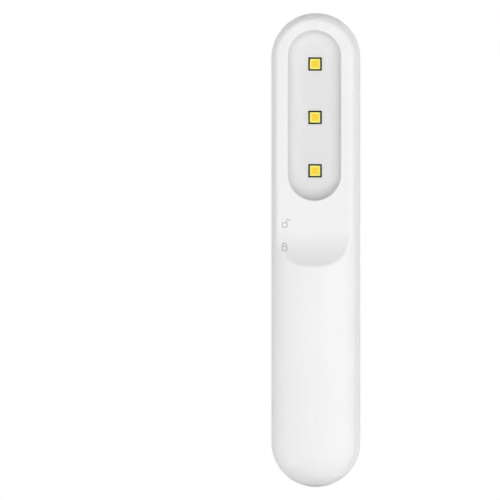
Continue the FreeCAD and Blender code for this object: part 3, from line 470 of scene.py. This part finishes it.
# Sizes of a padlock sign about its centre, and the places of both signs
LOCK_STROKE = 0.34 * MM
LOCK_HALF_WIDTH = 0.82 * MM
LOCK_FOOT = -1.3 * MM
LOCK_TOP = 0.15 * MM
LOCK_CORNER = 0.25 * MM
LOCK_CORNER_STEPS = 4
SHACKLE_RADIUS = 0.58 * MM
SHACKLE_MIDDLE = 0.7 * MM
SHACKLE_STEPS = 12
LOCK_X = 10.0 * MM
UNLOCKED_Z = 49.0 * MM
LOCKED_Z = 41.1 * MM


def padlock_signs():
    """Open and closed padlock on the rear shell, beside the lock slider."""
    case = box_outline(LOCK_HALF_WIDTH, LOCK_FOOT, LOCK_TOP, LOCK_CORNER, LOCK_CORNER_STEPS)
    bow = arc((0, SHACKLE_MIDDLE), SHACKLE_RADIUS, 0, 180, SHACKLE_STEPS)
    closed_shackle = [(SHACKLE_RADIUS, LOCK_TOP), *bow, (-SHACKLE_RADIUS, LOCK_TOP)]
    open_shackle = [(x + 2 * SHACKLE_RADIUS, y) for x, y in closed_shackle[1:]]
    signs = (("unlocked_sign", open_shackle, UNLOCKED_Z), ("locked_sign", closed_shackle, LOCKED_Z))
    for name, shackle, height in signs:
        print_sign(
            name, [(case, True), (shackle, False)],
            LOCK_STROKE, "rear_shell", (LOCK_X, height), 1, "housing",
        )


power_sign()
padlock_signs()


# Dies of the LEDs

DIE_SIDE = 2.2 * MM
DIE_HEIGHT = 0.07 * MM


def led_die(place):
    """Amber die that stands a little proud of an LED's face."""
    low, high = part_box(f"led_emitter_{place}")
    middle = (low + high) / 2
    half = Vector((DIE_SIDE / 2, 0, DIE_SIDE / 2))
    seat = Vector((middle.x, high.y - DIE_HEIGHT / 2, middle.z))
    top = Vector((middle.x, high.y + DIE_HEIGHT, middle.z))
    form = bmesh.new()
    bevelled_block(form, seat - half, top + half, DIE_HEIGHT / 2)
    add_piece(f"led_die_{place}", form, DIE_AMBER, "housing")


for place in ("upper", "middle", "lower"):
    led_die(place)


# Contacts of the charging inlet

CONTACTS = 12
CONTACT_PITCH = 0.5 * MM
CONTACT_HALF_WIDTH = 0.13 * MM
CONTACT_HALF_HEIGHT = 0.03 * MM
CONTACT_START = 0.5 * MM
CONTACT_END = 4.5 * MM
CONTACT_BEVEL = 0.02 * MM
TONGUE_HALF_THICKNESS = 0.35 * MM


def usb_contacts():
    """Gold strips on both faces of the inlet's tongue."""
    low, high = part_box("usb_c_tongue")
    half = Vector((CONTACT_HALF_WIDTH, CONTACT_HALF_HEIGHT, 0))
    form = bmesh.new()
    for side in (-1, 1):
        y = (low.y + high.y) / 2 + side * TONGUE_HALF_THICKNESS
        for index in range(CONTACTS):
            x = (index - (CONTACTS - 1) / 2) * CONTACT_PITCH
            near = Vector((x, y, low.z + CONTACT_START))
            far = Vector((x, y, low.z + CONTACT_END))
            bevelled_block(form, near - half, far + half, CONTACT_BEVEL)
    add_piece("usb_contacts", form, CONTACT_GOLD, "housing")


usb_contacts()


# Floor

FLOOR_HALF_SIZE = 12.0
FLOOR_DROP = 0.05 * MM
FLOOR_GLOW = 0.10
PURE_WHITE = (1, 1, 1, 1)


def white_floor():
    """Floor just under the wand; the camera sees it as white as the backdrop, however near a light."""
    material = surface(
        "white_floor", grey(0.93), rough=0.8, grain=4 * MM, relief=0.01 * MM, cloud=300 * MM, contrast=0.004,
    )
    graph = Graph(material.node_tree)
    shader = graph.nodes["Principled BSDF"]
    shader.inputs["Emission Color"].default_value = PURE_WHITE
    shader.inputs["Emission Strength"].default_value = FLOOR_GLOW
    seen = graph.add("ShaderNodeEmission").outputs["Emission"]
    graph.feed(graph.nodes["Material Output"].inputs["Surface"], graph.seen_as(shader.outputs["BSDF"], seen))
    form = bmesh.new()
    bmesh.ops.create_grid(form, x_segments=1, y_segments=1, size=FLOOR_HALF_SIZE)
    floor = add_mesh("floor", form, material)
    floor.location.z = CAD_LOW.z - FLOOR_DROP


white_floor()


# Light

# How bright the tent is along Y, from the button side at -1 to the LED side at 1
PANELS = ((-1.0, 1.6), (-0.4, 0.3), (0.1, 5.6), (0.55, 0.3), (1.0, 0.3))
TENT_TOP = 0.8


def light_tent():
    """World of bright and dim panels that fade toward its top; the camera sees plain white."""
    world = bpy.data.worlds.new("white_studio")
    bpy.context.scene.world = world
    world.use_nodes = True
    world.node_tree.nodes.clear()
    graph = Graph(world.node_tree)
    place = graph.add("ShaderNodeTexCoord").outputs["Generated"]
    split = graph.add("ShaderNodeSeparateXYZ", {"Vector": place}).outputs
    brightest = max(strength for spot, strength in PANELS)
    stops = [((spot + 1) / 2, grey(strength / brightest)) for spot, strength in PANELS]
    panels = graph.ramp(graph.spread(split["Y"], 0.0, 1.0, start=-1.0, end=1.0), stops)
    fade = {"Value": split["Z"], "From Max": TENT_TOP, "To Min": brightest, "To Max": 0.0}
    height = graph.add("ShaderNodeMapRange", fade, interpolation_type="SMOOTHSTEP").outputs["Result"]
    tent = graph.add("ShaderNodeBackground", {"Color": panels, "Strength": height})
    backdrop = graph.add("ShaderNodeBackground", {"Color": PURE_WHITE})
    both = graph.seen_as(tent.outputs["Background"], backdrop.outputs["Background"])
    graph.add("ShaderNodeOutputWorld", {"Surface": both})


def direction(azimuth, elevation):
    """Unit vector from the wand toward a viewer at these angles, in degrees."""
    turn, rise = math.radians(azimuth), math.radians(elevation)
    return Vector((math.sin(turn) * math.cos(rise), -math.cos(turn) * math.cos(rise), math.sin(rise)))


VIEW_AZIMUTH = 183.5
FRONT_AZIMUTH = 0.0
SIDE_TURN = 30.0
TOP_ELEVATION = 82.0
LIGHT_DISTANCE = 0.9
BOX_SIZE = 0.2
TOP_BOX_SIZE = 0.4


def softbox(name, azimuth, power, elevation=0.0, size=BOX_SIZE):
    """Square area light that faces the wand."""
    data = bpy.data.lights.new(name, "AREA")
    data.energy = power
    data.size = size
    light = add_object(name, data)
    away = direction(azimuth, elevation)
    light.location = CENTRE + away * LIGHT_DISTANCE
    light.rotation_mode = "QUATERNION"
    light.rotation_quaternion = away.to_track_quat("Z", "Y")


light_tent()
softbox("rear_axis", VIEW_AZIMUTH, power=3.9)
softbox("rear_key", VIEW_AZIMUTH + SIDE_TURN, power=1.6)
softbox("rear_fill", VIEW_AZIMUTH - SIDE_TURN, power=0.5)
softbox("front_axis", FRONT_AZIMUTH, power=4.6)
softbox("front_top", FRONT_AZIMUTH, power=2.8, elevation=TOP_ELEVATION, size=TOP_BOX_SIZE)


# Camera

LENS = 500.0
SENSOR = 36.0
FRAME_WIDTH = 168.8 * MM
WAND_OFFSET = 22.15 * MM


def rear_camera():
    """Long lens that looks at the LED side, with the wand to the right of the middle."""
    data = bpy.data.cameras.new("camera")
    data.lens = LENS
    data.sensor_width = SENSOR
    camera = add_object("camera", data)
    toward = direction(VIEW_AZIMUTH, 0)
    rightward = Vector((0, 0, 1)).cross(toward)
    camera.location = CENTRE + toward * (FRAME_WIDTH * LENS / SENSOR)
    aim = CENTRE - rightward * WAND_OFFSET
    camera.rotation_mode = "QUATERNION"
    camera.rotation_quaternion = (aim - camera.location).to_track_quat("-Z", "Y")
    bpy.context.scene.camera = camera


rear_camera()
bpy.context.scene.view_settings.view_transform = "Standard"
